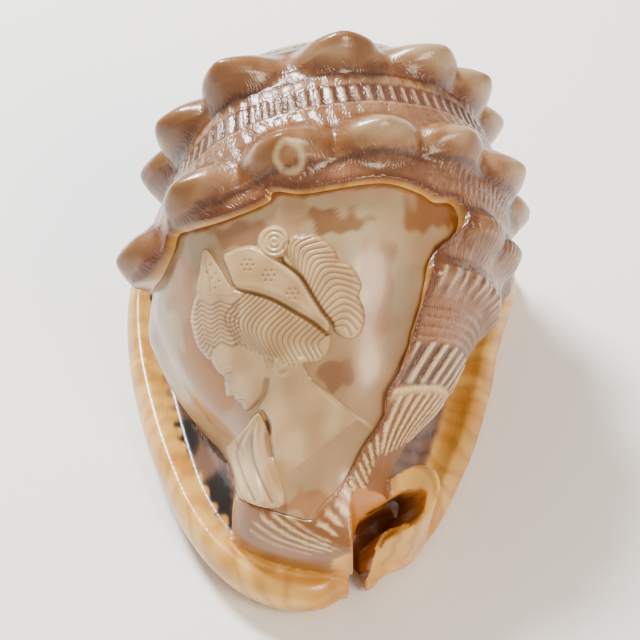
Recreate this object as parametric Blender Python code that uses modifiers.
"""Carved cameo shell: a bullmouth helmet shell on its flat mouth side, its back ground smooth and carved.

The shell grew as one piece, so it is one solid. X runs across the shell, with the outer lip at -X. +Y
points to the spire, -Y to the canal and +Z up to the carved back. The origin is on the plane that it rests
on, under the middle of the shell.
Lengths in this script are in millimetres and angles in degrees. The mesh is written in metres.
"""

import math

import bmesh
import bpy
import numpy as np

MM = 0.001

# The middle of the shell in plan. It is drawn from here, then moved so that the origin is under its middle.
PLAN_MIDDLE = np.array([1.1, -1.9, 0.0])

# The coiling axis runs from the tip of the spire to the canal at the front.
APEX = np.array([-4.0, 73.5, 57.5])
CANAL = np.array([15.5, -62.0, 28.5])

# Each whorl is WHORL_GROWTH times as wide as the one before it. The last grows less and ends at the lip.
LAST_GROWTH = 1.33
WHORL_GROWTH = 1.8
WHORLS = 4
LIP_ANGLE = -75.0

# The side of the last whorl at the lip: distance along the axis, and distance from it.
WHORL_OUTLINE = [
    (0, 0), (7, 2), (11, 14), (17, 27), (25, 38.5), (33, 45.5), (40, 49), (50, 51.5), (62, 54), (75, 54.5),
    (88, 52), (100, 48), (112, 41.5), (125, 32.5), (134, 26.5), (142, 19.5), (148, 12), (154, 6.5),
    (160, 2.5), (172, 0.2),
]

# The length of the whorls, the length over which their front end rounds off, and how much of its width that
# takes.
BODY_LENGTH = 152.0
BODY_END_ROUND = 14.0
BODY_END_LOSS = 0.98
BODY_FLOOR = 2.0

# On the lip side the whorl's side differs from the outline: fuller at the front, slimmer at the shoulder and
# a little fuller between them. Each line gives the change, the distances along the axis between which it
# comes in and goes out again, and the angles round the axis between which it comes in.
LIP_SIDE_CHANGES = [
    (26.0, (110, 146), (200, 190), (65, -35)),
    (-6.0, (8, 25), (70, 40), (60, 20)),
    (2.5, (70, 82), (128, 112), (35, 0)),
]

# Rows of knobs: distance along the axis at the lip, height, half width, height of the keel between them,
# and the angles of the knobs around the axis. 0 is the lip side, 90 the back.
KNOB_ROWS = [
    (39, 10.0, 8.5, 2.0, (-24, 4, 29, 59, 94, 126, 149, 175, 202, 229)),
    (72.5, 8.0, 8.0, 1.5, (11, 43, 73, 100, 125, 153, 181, 210)),
    (95.5, 5.0, 6.5, 1.0, (38, 64, 88, 116, 141, 165, 190)),
    (110.5, 3.2, 5.0, 0.6, (105, 125, 144, 162, 180)),
]
KNOB_REACH = 11.0
KNOB_SLOPE = 1.2
KNOB_POINT = 0.8
KNOBS_START = (0.0, 12.0)
KEEL_SLOPE = 3.0
KEEL_FADE = (-5.0, 25.0)

# The flat mouth side: its outline in plan, going round from the lip side, and the middle it turns about.
BASE_OUTLINE = [
    (-53.5, 25), (-53, 12), (-51.5, 0), (-49, -12), (-45.5, -25), (-41, -38), (-35.5, -51), (-28, -63),
    (-19, -71.5), (-9, -75.7), (0, -75.6), (6.5, -71.5), (12.7, -68), (18, -64), (23.6, -59.4), (29, -52),
    (33, -44), (36.8, -35), (40.5, -25.5), (43.6, -15), (46.5, -4), (48.7, 8), (52, 20), (55, 31), (55, 41),
    (49, 50), (39, 55), (25, 58.5), (10, 60), (-8, 60), (-24, 57.5), (-37, 52.5), (-47, 44), (-52, 35.5),
]
BASE_MIDDLE = (0.0, 0.0)

# From the middle of its underside to the middle of its top: distance in from the outline, and height.
# The last number is how much of the height follows the rim, which is higher on the lip side.
BASE_SECTION = [
    (60, 0.0, 0), (24, 0.0, 0), (14, 0.5, 0), (8, 1.2, 0), (3.2, 2.8, 0), (0.8, 5.2, 0.2), (0, 8.5, 0.6),
    (0.9, 12.0, 1), (3.6, 14.3, 1), (6.4, 13.4, 1), (9.5, 12.4, 0.8), (14, 15.5, 0.4), (20, 22, 0),
    (60, 30, 0),
]
RIM_DROP = 4.5

# The upturned end of the canal: its rim as plan place and height, and the plan place of its foot on the
# base. Inside the rim its top dips to the middle, slowly at first. The cap is each end's share of the rise.
SPOUT_RIM = [
    (5, -70, 10, 5, -70), (5.6, -66.5, 20, 5.2, -65), (7.2, -63.3, 26, 6.5, -60), (11, -60.5, 31, 10, -56),
    (17, -56.7, 35, 15, -52), (23.6, -54.1, 37, 21, -49), (28, -56, 37, 25, -49),
    (29.2, -59.5, 35.5, 26.5, -51), (28, -62.3, 33.2, 26.5, -54), (26.6, -64, 30.5, 25, -56.5),
    (24.4, -65.1, 28, 23.5, -58.5),
    (21.2, -65.6, 25.2, 21, -60.5), (18, -65.7, 22.8, 17.8, -62), (15.2, -65.6, 20, 15.2, -63.5),
    (13.4, -66.4, 15.5, 14.2, -65.4), (11.7, -68, 9, 12.4, -67),
]
SPOUT_MIDDLE = (18, -62, 22, 17, -57)
SPOUT_CAP = 0.35
SPOUT_BAND = 1.6

# The mouth, cut from below: plan place and half width along it, its highest and lowest z.
APERTURE = [
    (-17, 51, 1.5), (-21, 42, 3.2), (-24, 25, 4.2), (-24.5, 8, 4.6), (-22.5, -10, 4.6), (-18, -28, 4.4),
    (-11.5, -42, 4.0), (-3, -53.5, 3.4), (5, -61, 2.8), (9.2, -68, 2.4), (9.8, -78, 2.4),
]
APERTURE_TOP = 15.0
CUT_BOTTOM = -3.0
PATH_STEPS = 100

# The room in the canal: its edge on the rim as plan place and height, on the far and the near side, and
# how far it leans as it goes down. Well over the rim it flares to the front, clear of the near side.
CANAL_FAR = [
    (7.6, -67, 7), (7.8, -63, 12), (9, -61.2, 20), (11.5, -61, 26), (15.8, -60.6, 30), (19.6, -59.6, 33),
    (22.6, -58.8, 34), (25, -59.3, 34), (25.9, -60.3, 33.5),
]
CANAL_NEAR = [
    (14.2, -80, 17), (14, -71, 17), (13.9, -65.6, 18), (14.8, -63.6, 20), (17, -63.2, 23),
    (19.9, -63.4, 25), (22.7, -63.1, 26.5), (25, -62.4, 29.5), (25.9, -61.2, 33),
]
CANAL_LEAN = (-0.3, 0.42)
CANAL_FLARE = 7.0
CANAL_FLARE_START = 0.5
CANAL_HEIGHTS = (4.0, 45.0)

# The hollow of the last whorl: its ends along the axis and around it, its wall, and the floor under it.
HOLLOW_LENGTH = (24.0, 112.0)
HOLLOW_ANGLES = (-62.0, 212.0)
WALL = 6.0
COLUMELLA_RADIUS = 7.5
HOLLOW_FLOOR = 8.0
HOLLOW_LEAST = 1.0

# The ground that the carver sinks into the back: its edge as distance along the axis, angle round it, and
# height of the step up to the grown surface as a share of GROUND_DEPTH. It goes round from the lip side.
GROUND_EDGE = [
    (67.5, -10, 0.6), (69, -4, 0.8), (71.5, 5, 1), (73.9, 13.4, 1), (72.2, 23.7, 1), (69.4, 28.5, 1),
    (71, 34.8, 1), (73.5, 45.7, 1), (74.4, 56.5, 1), (73.9, 63.8, 1), (71.9, 66.3, 1), (74.2, 74.5, 1),
    (74.3, 84.7, 1), (73.3, 101.2, 1), (74.9, 113.8, 1), (76.2, 119, 1), (75.2, 126.6, 1), (77.3, 130.8, 1),
    (81.2, 130.1, 1), (85, 125.5, 1), (87.5, 121.1, 1), (90.4, 117.8, 1), (95.8, 116.8, 1), (99.9, 116.2, 1),
    (104.9, 113.7, 1), (108.4, 112.5, 1), (114.6, 106.5, 1), (119.3, 98.1, 1), (123.8, 95.6, 0.9),
    (128.5, 75.9, 0.8), (133.9, 49.3, 0.6), (139.9, 24.3, 0.4), (142, 16.8, 0.4), (142.4, 13, 0.4),
    (140.1, 8, 0.3), (135.1, 1, 0.2), (129.7, -7, 0), (122.2, -14, 0), (112.1, -24, 0), (103.9, -26, 0),
    (99.8, -23, 0), (95.9, -20, 0), (92.1, -18, 0), (89, -16, 0), (85.1, -14, 0), (80.9, -12.5, 0),
    (75.8, -11.5, 0), (71, -11, 0.2),
]
GROUND_MIDDLE = (105.0, 50.0, 1.0)
GROUND_DEPTH = 2.4
GROUND_FADE = (0.8, 1.0)

# How far the cutter of the ground reaches out above the knobs.
GROUND_CLEARANCE = 2.0

# The carver's plane leans back this far, and its middle is here.
CARVING_TILT = 48.0
CARVING_CENTRE = np.array([0.0, -8.0, 38.0])

# The carving as its carver faces it: u runs to +X and v up the slope of the back. This is the outline of
# the bust, with the height of its edge above the ground and the distances over which that rises.
BUST_EDGE = [
    (-28, 18.5), (-24, 15.5), (-20, 18), (-15.5, 22.5), (-8, 22), (1, 20.5), (8, 16), (10.5, 9), (10.5, 1),
    (7, -5.5), (2, -7), (3, -12), (6, -17), (11.5, -20.5), (10, -30), (4, -38), (-9, -44.5), (-14.5, -43.5),
    (-20, -33), (-23, -28.5), (-17.5, -22.5), (-19, -17.5), (-24, -16), (-27, -9), (-29.5, -3), (-31, 4),
]
BUST_HEIGHT = 1.5
BUST_SIDE = (-0.3, 2.2)

# The larger swells of the bust: middle, half width and height of each, for hair, bun, cheek and shoulder.
BUST_SWELLS = [
    (-14, 6, 11, 9, 0.9), (3, 14, 8, 7, 1.1), (5, 1, 6, 7, 0.9), (-20, -6, 6, 9, 0.8),
    (-5, -26, 12, 10, 0.8),
]

# Mesh: points round and along each shape before it is moved, and cuts along each side of each cutter.
WHORLS_GRID = (180, 126)
BASE_GRID = (160, 90)
SPOUT_GRID = (96, 40)
CANAL_CUTS = 24
GROUND_GRID = (180, 72)
SLIT_CUTS = 24
HOLLOW_CUTS = 22

# Mesh: grid of the joined solid, rounds of softening before and after the cuts, triangles left in it, and
# the height under which it is pressed flat.
GRID_STEP = 0.9
SOFTEN_JOINED = 3
SOFTEN_CUT = 1
TRIANGLES = 9600
REST_PRESS = 0.35

SHELL_COLOUR = (0.52, 0.33, 0.2)
SHELL_ROUGHNESS = 0.25


def unit(vector):
    return vector / np.linalg.norm(vector)


AXIS = unit(CANAL - APEX)
AXIS_UP = unit(np.array([0.0, 0.0, 1.0]) - AXIS * AXIS[2])
AXIS_LEFT = np.cross(AXIS, AXIS_UP)
VIEW_UP = np.array([0.0, math.sin(math.radians(CARVING_TILT)), math.cos(math.radians(CARVING_TILT))])


def smooth_step(low, high, value):
    """0 at low, 1 at high, with a smooth rise between them."""
    share = np.clip((value - low) / (high - low), 0.0, 1.0)
    return share * share * (3.0 - 2.0 * share)


def curve_through(points, value):
    """A smooth curve y(x) through the points, read at value."""
    x, y = (np.array(side, float) for side in zip(*points))
    slope = np.gradient(y, x)
    value = np.clip(value, x[0], x[-1])
    i = np.clip(np.searchsorted(x, value, side="right") - 1, 0, len(x) - 2)
    width = x[i + 1] - x[i]
    t = (value - x[i]) / width
    return (
        y[i] * (1 + 2 * t) * (1 - t) ** 2
        + slope[i] * width * t * (1 - t) ** 2
        + y[i + 1] * t * t * (3 - 2 * t)
        - slope[i + 1] * width * t * t * (1 - t)
    )


def closed_curve(points, share):
    """A smooth closed curve through points of any size, read at share 0 to 1 of the way round."""
    points = np.array(points, float)
    place = (np.asarray(share, float) % 1.0) * len(points)
    i = np.floor(place).astype(int) % len(points)
    t = (place - np.floor(place))[..., None]
    before, here, after, beyond = (points[(i + step) % len(points)] for step in (-1, 0, 1, 2))
    return 0.5 * (
        2 * here
        + (after - before) * t
        + (2 * before - 5 * here + 4 * after - beyond) * t ** 2
        + (3 * here - before - 3 * after + beyond) * t ** 3
    )


def open_curve(points, share):
    """A smooth curve from the first point to the last, read at share 0 to 1 of its length."""
    points = np.array(points, float)
    length = np.concatenate([[0.0], np.cumsum(np.linalg.norm(np.diff(points[:, :2], axis=0), axis=1))])
    place = np.asarray(share, float) * length[-1]
    return np.stack([curve_through(list(zip(length, column)), place) for column in points.T], axis=-1)


def growth(angle, whorl=0):
    """Size of a whorl at an angle round the axis, as a share of the shell's size at the lip."""
    back = ((angle - LIP_ANGLE) % 360.0) / 360.0
    if whorl == 0:
        return LAST_GROWTH ** -back
    return WHORL_GROWTH ** (1 - whorl - back) / LAST_GROWTH


def from_lip(angle):
    """The same angle, counted up from the lip."""
    return (angle - LIP_ANGLE) % 360.0 + LIP_ANGLE


def whorl_radius(along, angle, first=0):
    """Distance of the shell's side from the axis, without knobs, counted from the whorl named first."""
    radius = np.zeros(np.broadcast(along, angle).shape)
    for whorl in range(first, WHORLS):
        size = growth(angle, whorl)
        radius = np.maximum(radius, size * curve_through(WHORL_OUTLINE, along / size))
    if first == 0:
        side = from_lip(angle)
        for change, comes, goes, around in LIP_SIDE_CHANGES:
            stretch = smooth_step(*comes, along) * smooth_step(*goes, along)
            radius += change * stretch * smooth_step(*around, side)
        past = np.clip((along - BODY_LENGTH) / BODY_END_ROUND + 1.0, 0.0, 1.0)
        radius *= np.sqrt(1.0 - BODY_END_LOSS * past ** 2)
    return radius


def nearest_knob(angle, knobs):
    """Angle to the nearest knob of a row."""
    return np.min([np.abs((angle - knob + 180.0) % 360.0 - 180.0) for knob in knobs], axis=0)


def knob_height(along, angle):
    """Height that the rows of knobs and the keels between them add to the whorl."""
    size = growth(angle)
    height = np.zeros(np.broadcast(along, angle).shape)
    for row, knob, reach, keel, knobs in KNOB_ROWS:
        across = (along / size - row) / reach
        around = np.radians(nearest_knob(angle, knobs)) * whorl_radius(row * size, angle) / KNOB_REACH
        height += size * knob * np.exp(-KNOB_SLOPE * (across ** 2 + around ** 2) ** KNOB_POINT)
        height += size * keel * np.exp(-KEEL_SLOPE * across ** 2) * smooth_step(*KEEL_FADE, from_lip(angle))
    return height * smooth_step(*KNOBS_START, along)


def around_axis(along, angle, radius):
    """Place of a point given by its distance along the axis, its angle round it and how far from it."""
    turn = np.radians(angle)
    return (
        APEX
        + np.asarray(along)[..., None] * AXIS
        + (radius * np.cos(turn))[..., None] * AXIS_LEFT
        + (radius * np.sin(turn))[..., None] * AXIS_UP
    )


def axis_place(points):
    """Distance along the axis, angle round it and distance from it of each point."""
    arm = points - APEX
    left, up = arm @ AXIS_LEFT, arm @ AXIS_UP
    return arm @ AXIS, np.degrees(np.arctan2(up, left)), np.hypot(left, up)


def distance_inside(outline, u, v):
    """Distance of each place from a closed outline, positive inside it."""
    start = np.array(outline, float)
    step = np.roll(start, -1, axis=0) - start
    place = np.stack([u, v], axis=-1)[..., None, :] - start
    share = np.clip((place * step).sum(-1) / (step ** 2).sum(-1), 0.0, 1.0)
    gap = np.linalg.norm(place - share[..., None] * step, axis=-1).min(axis=-1)
    above = place[..., 1] >= 0
    crosses = above != (place[..., 1] >= step[:, 1])
    side = place[..., 0] * step[:, 1] - place[..., 1] * step[:, 0]
    inside = (crosses & ((side < 0) == (step[:, 1] > 0))).sum(axis=-1) % 2
    return np.where(inside == 1, gap, -gap)


def relief(u, v):
    """Height of the carving above the ground at a place on the carver's plane."""
    inside = distance_inside(BUST_EDGE, u, v)
    height = np.full(u.shape, BUST_HEIGHT)
    for middle_u, middle_v, half_u, half_v, swell in BUST_SWELLS:
        away = ((u - middle_u) / half_u) ** 2 + ((v - middle_v) / half_v) ** 2
        height += swell * np.exp(-away)
    return height * smooth_step(*BUST_SIDE, inside)


def sphere(columns, rows):
    """A ball whose points are then moved. With it comes each point's share of the way round and up."""
    shape = bmesh.new()
    bmesh.ops.create_uvsphere(shape, u_segments=columns, v_segments=rows, radius=1.0)
    at = np.array([vertex.co for vertex in shape.verts])
    turn = np.arctan2(at[:, 1], at[:, 0]) / (2 * math.pi) % 1.0
    rise = np.arcsin(np.clip(at[:, 2], -1, 1)) / math.pi + 0.5
    return shape, turn, rise


def block(cuts):
    """A cube cut into a grid, whose points are then moved. With it come their shares of its three sides."""
    shape = bmesh.new()
    bmesh.ops.create_cube(shape, size=1.0)
    bmesh.ops.subdivide_edges(shape, edges=shape.edges, cuts=cuts, use_grid_fill=True)
    return shape, np.array([vertex.co for vertex in shape.verts]) + 0.5


def finish(name, shape, at, collection):
    """Write a moved shape as an object, with its faces turned outward."""
    for vertex, place in zip(shape.verts, (at - PLAN_MIDDLE) * MM):
        vertex.co = place
    if shape.calc_volume(signed=True) < 0:
        bmesh.ops.reverse_faces(shape, faces=shape.faces)
    mesh = bpy.data.meshes.new(name)
    shape.to_mesh(mesh)
    shape.free()
    piece = bpy.data.objects.new(name, mesh)
    collection.objects.link(piece)
    return piece


def whorls(collection):
    """The coiled body with its spire and knobs."""
    shape, turn, rise = sphere(*WHORLS_GRID)
    angle, along = turn * 360.0, rise * BODY_LENGTH
    at = around_axis(along, angle, whorl_radius(along, angle) + knob_height(along, angle))
    at[:, 2] = np.maximum(at[:, 2], BODY_FLOOR)
    return finish("whorls", shape, at, collection)


def base(collection):
    """The flat mouth side, with the rolled lip and the shield as its rim."""
    shape, turn, rise = sphere(*BASE_GRID)
    rim = closed_curve(BASE_OUTLINE, turn)
    middle = np.array(BASE_MIDDLE)
    reach = np.linalg.norm(rim - middle, axis=1)
    inset, height, follow = open_curve(BASE_SECTION, rise).T
    share = np.clip(1.0 - inset / reach, 0.0, 1.0)
    plan = middle + (rim - middle) * share[:, None]
    drop = RIM_DROP * smooth_step(-30, 40, plan[:, 0]) * follow
    return finish("base", shape, np.column_stack([plan, height - drop]), collection)


def spout(collection):
    """The upturned end of the canal, still solid."""
    shape, turn, rise = sphere(*SPOUT_GRID)
    rim = closed_curve(SPOUT_RIM, turn)
    middle = np.array(SPOUT_MIDDLE)
    share = np.minimum(1.0, np.minimum(rise, 1.0 - rise) / SPOUT_CAP)
    dip = (1.0 - share) ** SPOUT_BAND
    lift = np.clip((rise - SPOUT_CAP) / (1.0 - 2 * SPOUT_CAP), 0.0, 1.0)
    place = middle + (rim - middle) * share[:, None]
    plan = place[:, 3:] + (place[:, :2] - place[:, 3:]) * lift[:, None]
    top = rim[:, 2] + (middle[2] - rim[:, 2]) * dip
    height = BODY_FLOOR + (top - BODY_FLOOR) * lift
    return finish("spout", shape, np.column_stack([plan, height]), collection)


def slit(name, path, top, collection):
    """A cutter that follows a line in plan, from under the shell up to top."""
    shape, share = block(SLIT_CUTS)
    x, y, half_width = open_curve(path, share[:, 0]).T
    ahead = np.gradient(open_curve(path, np.linspace(0, 1, PATH_STEPS + 1))[:, :2], axis=0)
    ahead /= np.linalg.norm(ahead, axis=1)[:, None]
    ahead = ahead[np.round(share[:, 0] * PATH_STEPS).astype(int)]
    side = (share[:, 1] * 2 - 1) * half_width
    height = CUT_BOTTOM + (top - CUT_BOTTOM) * share[:, 2]
    at = np.column_stack([x - ahead[:, 1] * side, y + ahead[:, 0] * side, height])
    return finish(name, shape, at, collection)


def canal(collection):
    """The room inside the upturned canal, leaning back towards the mouth."""
    shape, share = block(CANAL_CUTS)
    far, near = open_curve(CANAL_FAR, share[:, 0]), open_curve(CANAL_NEAR, share[:, 0])
    rim = far + (near - far) * share[:, 1:2]
    height = CANAL_HEIGHTS[0] + (CANAL_HEIGHTS[1] - CANAL_HEIGHTS[0]) * share[:, 2]
    plan = rim[:, :2] + np.outer(np.maximum(rim[:, 2] - height, 0.0), CANAL_LEAN)
    over = np.maximum(height - rim[:, 2] - CANAL_FLARE_START, 0.0)
    plan[:, 1] -= over * CANAL_FLARE * share[:, 1]
    return finish("canal", shape, np.column_stack([plan, height]), collection)


def hollow(collection):
    """The room inside the last whorl, from the lip round to the columella."""
    shape, share = block(HOLLOW_CUTS)
    angle = HOLLOW_ANGLES[0] + (HOLLOW_ANGLES[1] - HOLLOW_ANGLES[0]) * share[:, 0]
    along = HOLLOW_LENGTH[0] + (HOLLOW_LENGTH[1] - HOLLOW_LENGTH[0]) * share[:, 1]
    outer = whorl_radius(along, angle) - WALL
    inner = np.maximum(whorl_radius(along, angle, first=1), COLUMELLA_RADIUS)
    inner = np.minimum(inner, outer - HOLLOW_LEAST)
    at = around_axis(along, angle, inner + (outer - inner) * share[:, 2])
    at[:, 2] = np.maximum(at[:, 2], HOLLOW_FLOOR)
    return finish("hollow", shape, at, collection)


def ground(collection):
    """What the carver takes off the back: its underside is the ground with the bust standing on it."""
    shape, turn, rise = sphere(*GROUND_GRID)
    edge, middle = closed_curve(GROUND_EDGE, turn), np.array(GROUND_MIDDLE)
    share = 1.0 - np.abs(2.0 * rise - 1.0)
    along, angle, _ = (middle + (edge - middle) * share[:, None]).T
    side = whorl_radius(along, angle)
    depth = GROUND_DEPTH * (1.0 - (1.0 - edge[:, 2]) * smooth_step(*GROUND_FADE, share))
    place = around_axis(along, angle, side - depth) - CARVING_CENTRE
    under = side - depth + relief(place[:, 0], place @ VIEW_UP)
    over = side + knob_height(along, angle) + GROUND_CLEARANCE
    return finish("ground", shape, around_axis(along, angle, np.where(rise > 0.5, over, under)), collection)


def cut(piece, cutters, solver="EXACT"):
    """Cut a piece with others, and leave the result in its mesh. The wide, thin ground needs MANIFOLD."""
    for cutter in cutters:
        change = piece.modifiers.new(cutter.name, "BOOLEAN")
        change.operation = "DIFFERENCE"
        change.object = cutter
        change.solver = solver
    apply_modifiers(piece)


def apply_modifiers(piece):
    """Replace a piece's mesh by the one its modifiers make."""
    graph = bpy.context.evaluated_depsgraph_get()
    made = bpy.data.meshes.new_from_object(piece.evaluated_get(graph))
    piece.modifiers.clear()
    piece.data = made


def join(piece, others):
    """Put the others into a piece's mesh."""
    shape = bmesh.new()
    for part in [piece, *others]:
        shape.from_mesh(part.data)
    shape.to_mesh(piece.data)
    shape.free()


def grow_skin(piece, rounds):
    """Put one closed skin round everything in a piece, with its edges softened."""
    grid = piece.modifiers.new("grid", "REMESH")
    grid.mode = "VOXEL"
    grid.voxel_size = GRID_STEP * MM
    soften = piece.modifiers.new("soften", "SMOOTH")
    soften.factor = 0.5
    soften.iterations = rounds
    apply_modifiers(piece)


def drop_offcuts(piece):
    """Keep only the largest of the bodies that the cuts leave."""
    bpy.ops.object.select_all(action="DESELECT")
    piece.select_set(True)
    bpy.context.view_layer.objects.active = piece
    bpy.ops.object.mode_set(mode="EDIT")
    bpy.ops.mesh.select_all(action="SELECT")
    bpy.ops.mesh.separate(type="LOOSE")
    bpy.ops.object.mode_set(mode="OBJECT")
    bodies = sorted(bpy.context.selected_objects, key=lambda body: len(body.data.vertices))
    piece.data = bodies[-1].data
    for body in bodies:
        if body != piece:
            bpy.data.objects.remove(body)


def settle(piece):
    """Lower the number of faces and press the resting face flat."""
    sides = sum(len(face.vertices) - 2 for face in piece.data.polygons)
    fewer = piece.modifiers.new("fewer", "DECIMATE")
    fewer.ratio = TRIANGLES / sides
    fewer.use_collapse_triangulate = True
    apply_modifiers(piece)
    for vertex in piece.data.vertices:
        vertex.co.z = 0.0 if vertex.co.z < REST_PRESS * MM else vertex.co.z


def glossy(name, colour, roughness):
    """A plain polished material."""
    material = bpy.data.materials.new(name)
    material.use_nodes = True
    shader = material.node_tree.nodes["Principled BSDF"]
    shader.inputs["Base Color"].default_value = (*colour, 1.0)
    shader.inputs["Roughness"].default_value = roughness
    shader.inputs["Metallic"].default_value = 0.0
    material.diffuse_color = (*colour, 1.0)
    return material


def new_collection(name):
    collection = bpy.data.collections.new(name)
    bpy.context.scene.collection.children.link(collection)
    return collection


def main():
    for old in list(bpy.data.objects):
        bpy.data.objects.remove(old)
    parts = new_collection("carved_cameo_shell")
    tools = new_collection("cutters")
    shell = whorls(parts)
    shell.name = "shell"
    joined = [base(tools), spout(tools)]
    cutters = [
        hollow(tools),
        slit("aperture", APERTURE, APERTURE_TOP, tools),
        canal(tools),
    ]
    taken_off = ground(tools)
    join(shell, joined)
    grow_skin(shell, SOFTEN_JOINED)
    cut(shell, cutters)
    cut(shell, [taken_off], solver="MANIFOLD")
    grow_skin(shell, SOFTEN_CUT)
    drop_offcuts(shell)
    settle(shell)
    shell.data.materials.clear()
    shell.data.materials.append(glossy("polished_shell", SHELL_COLOUR, SHELL_ROUGHNESS))
    shell.data.shade_smooth()
    for tool in [*joined, *cutters, taken_off]:
        tool.hide_render = True
        tool.display_type = "WIRE"


main()
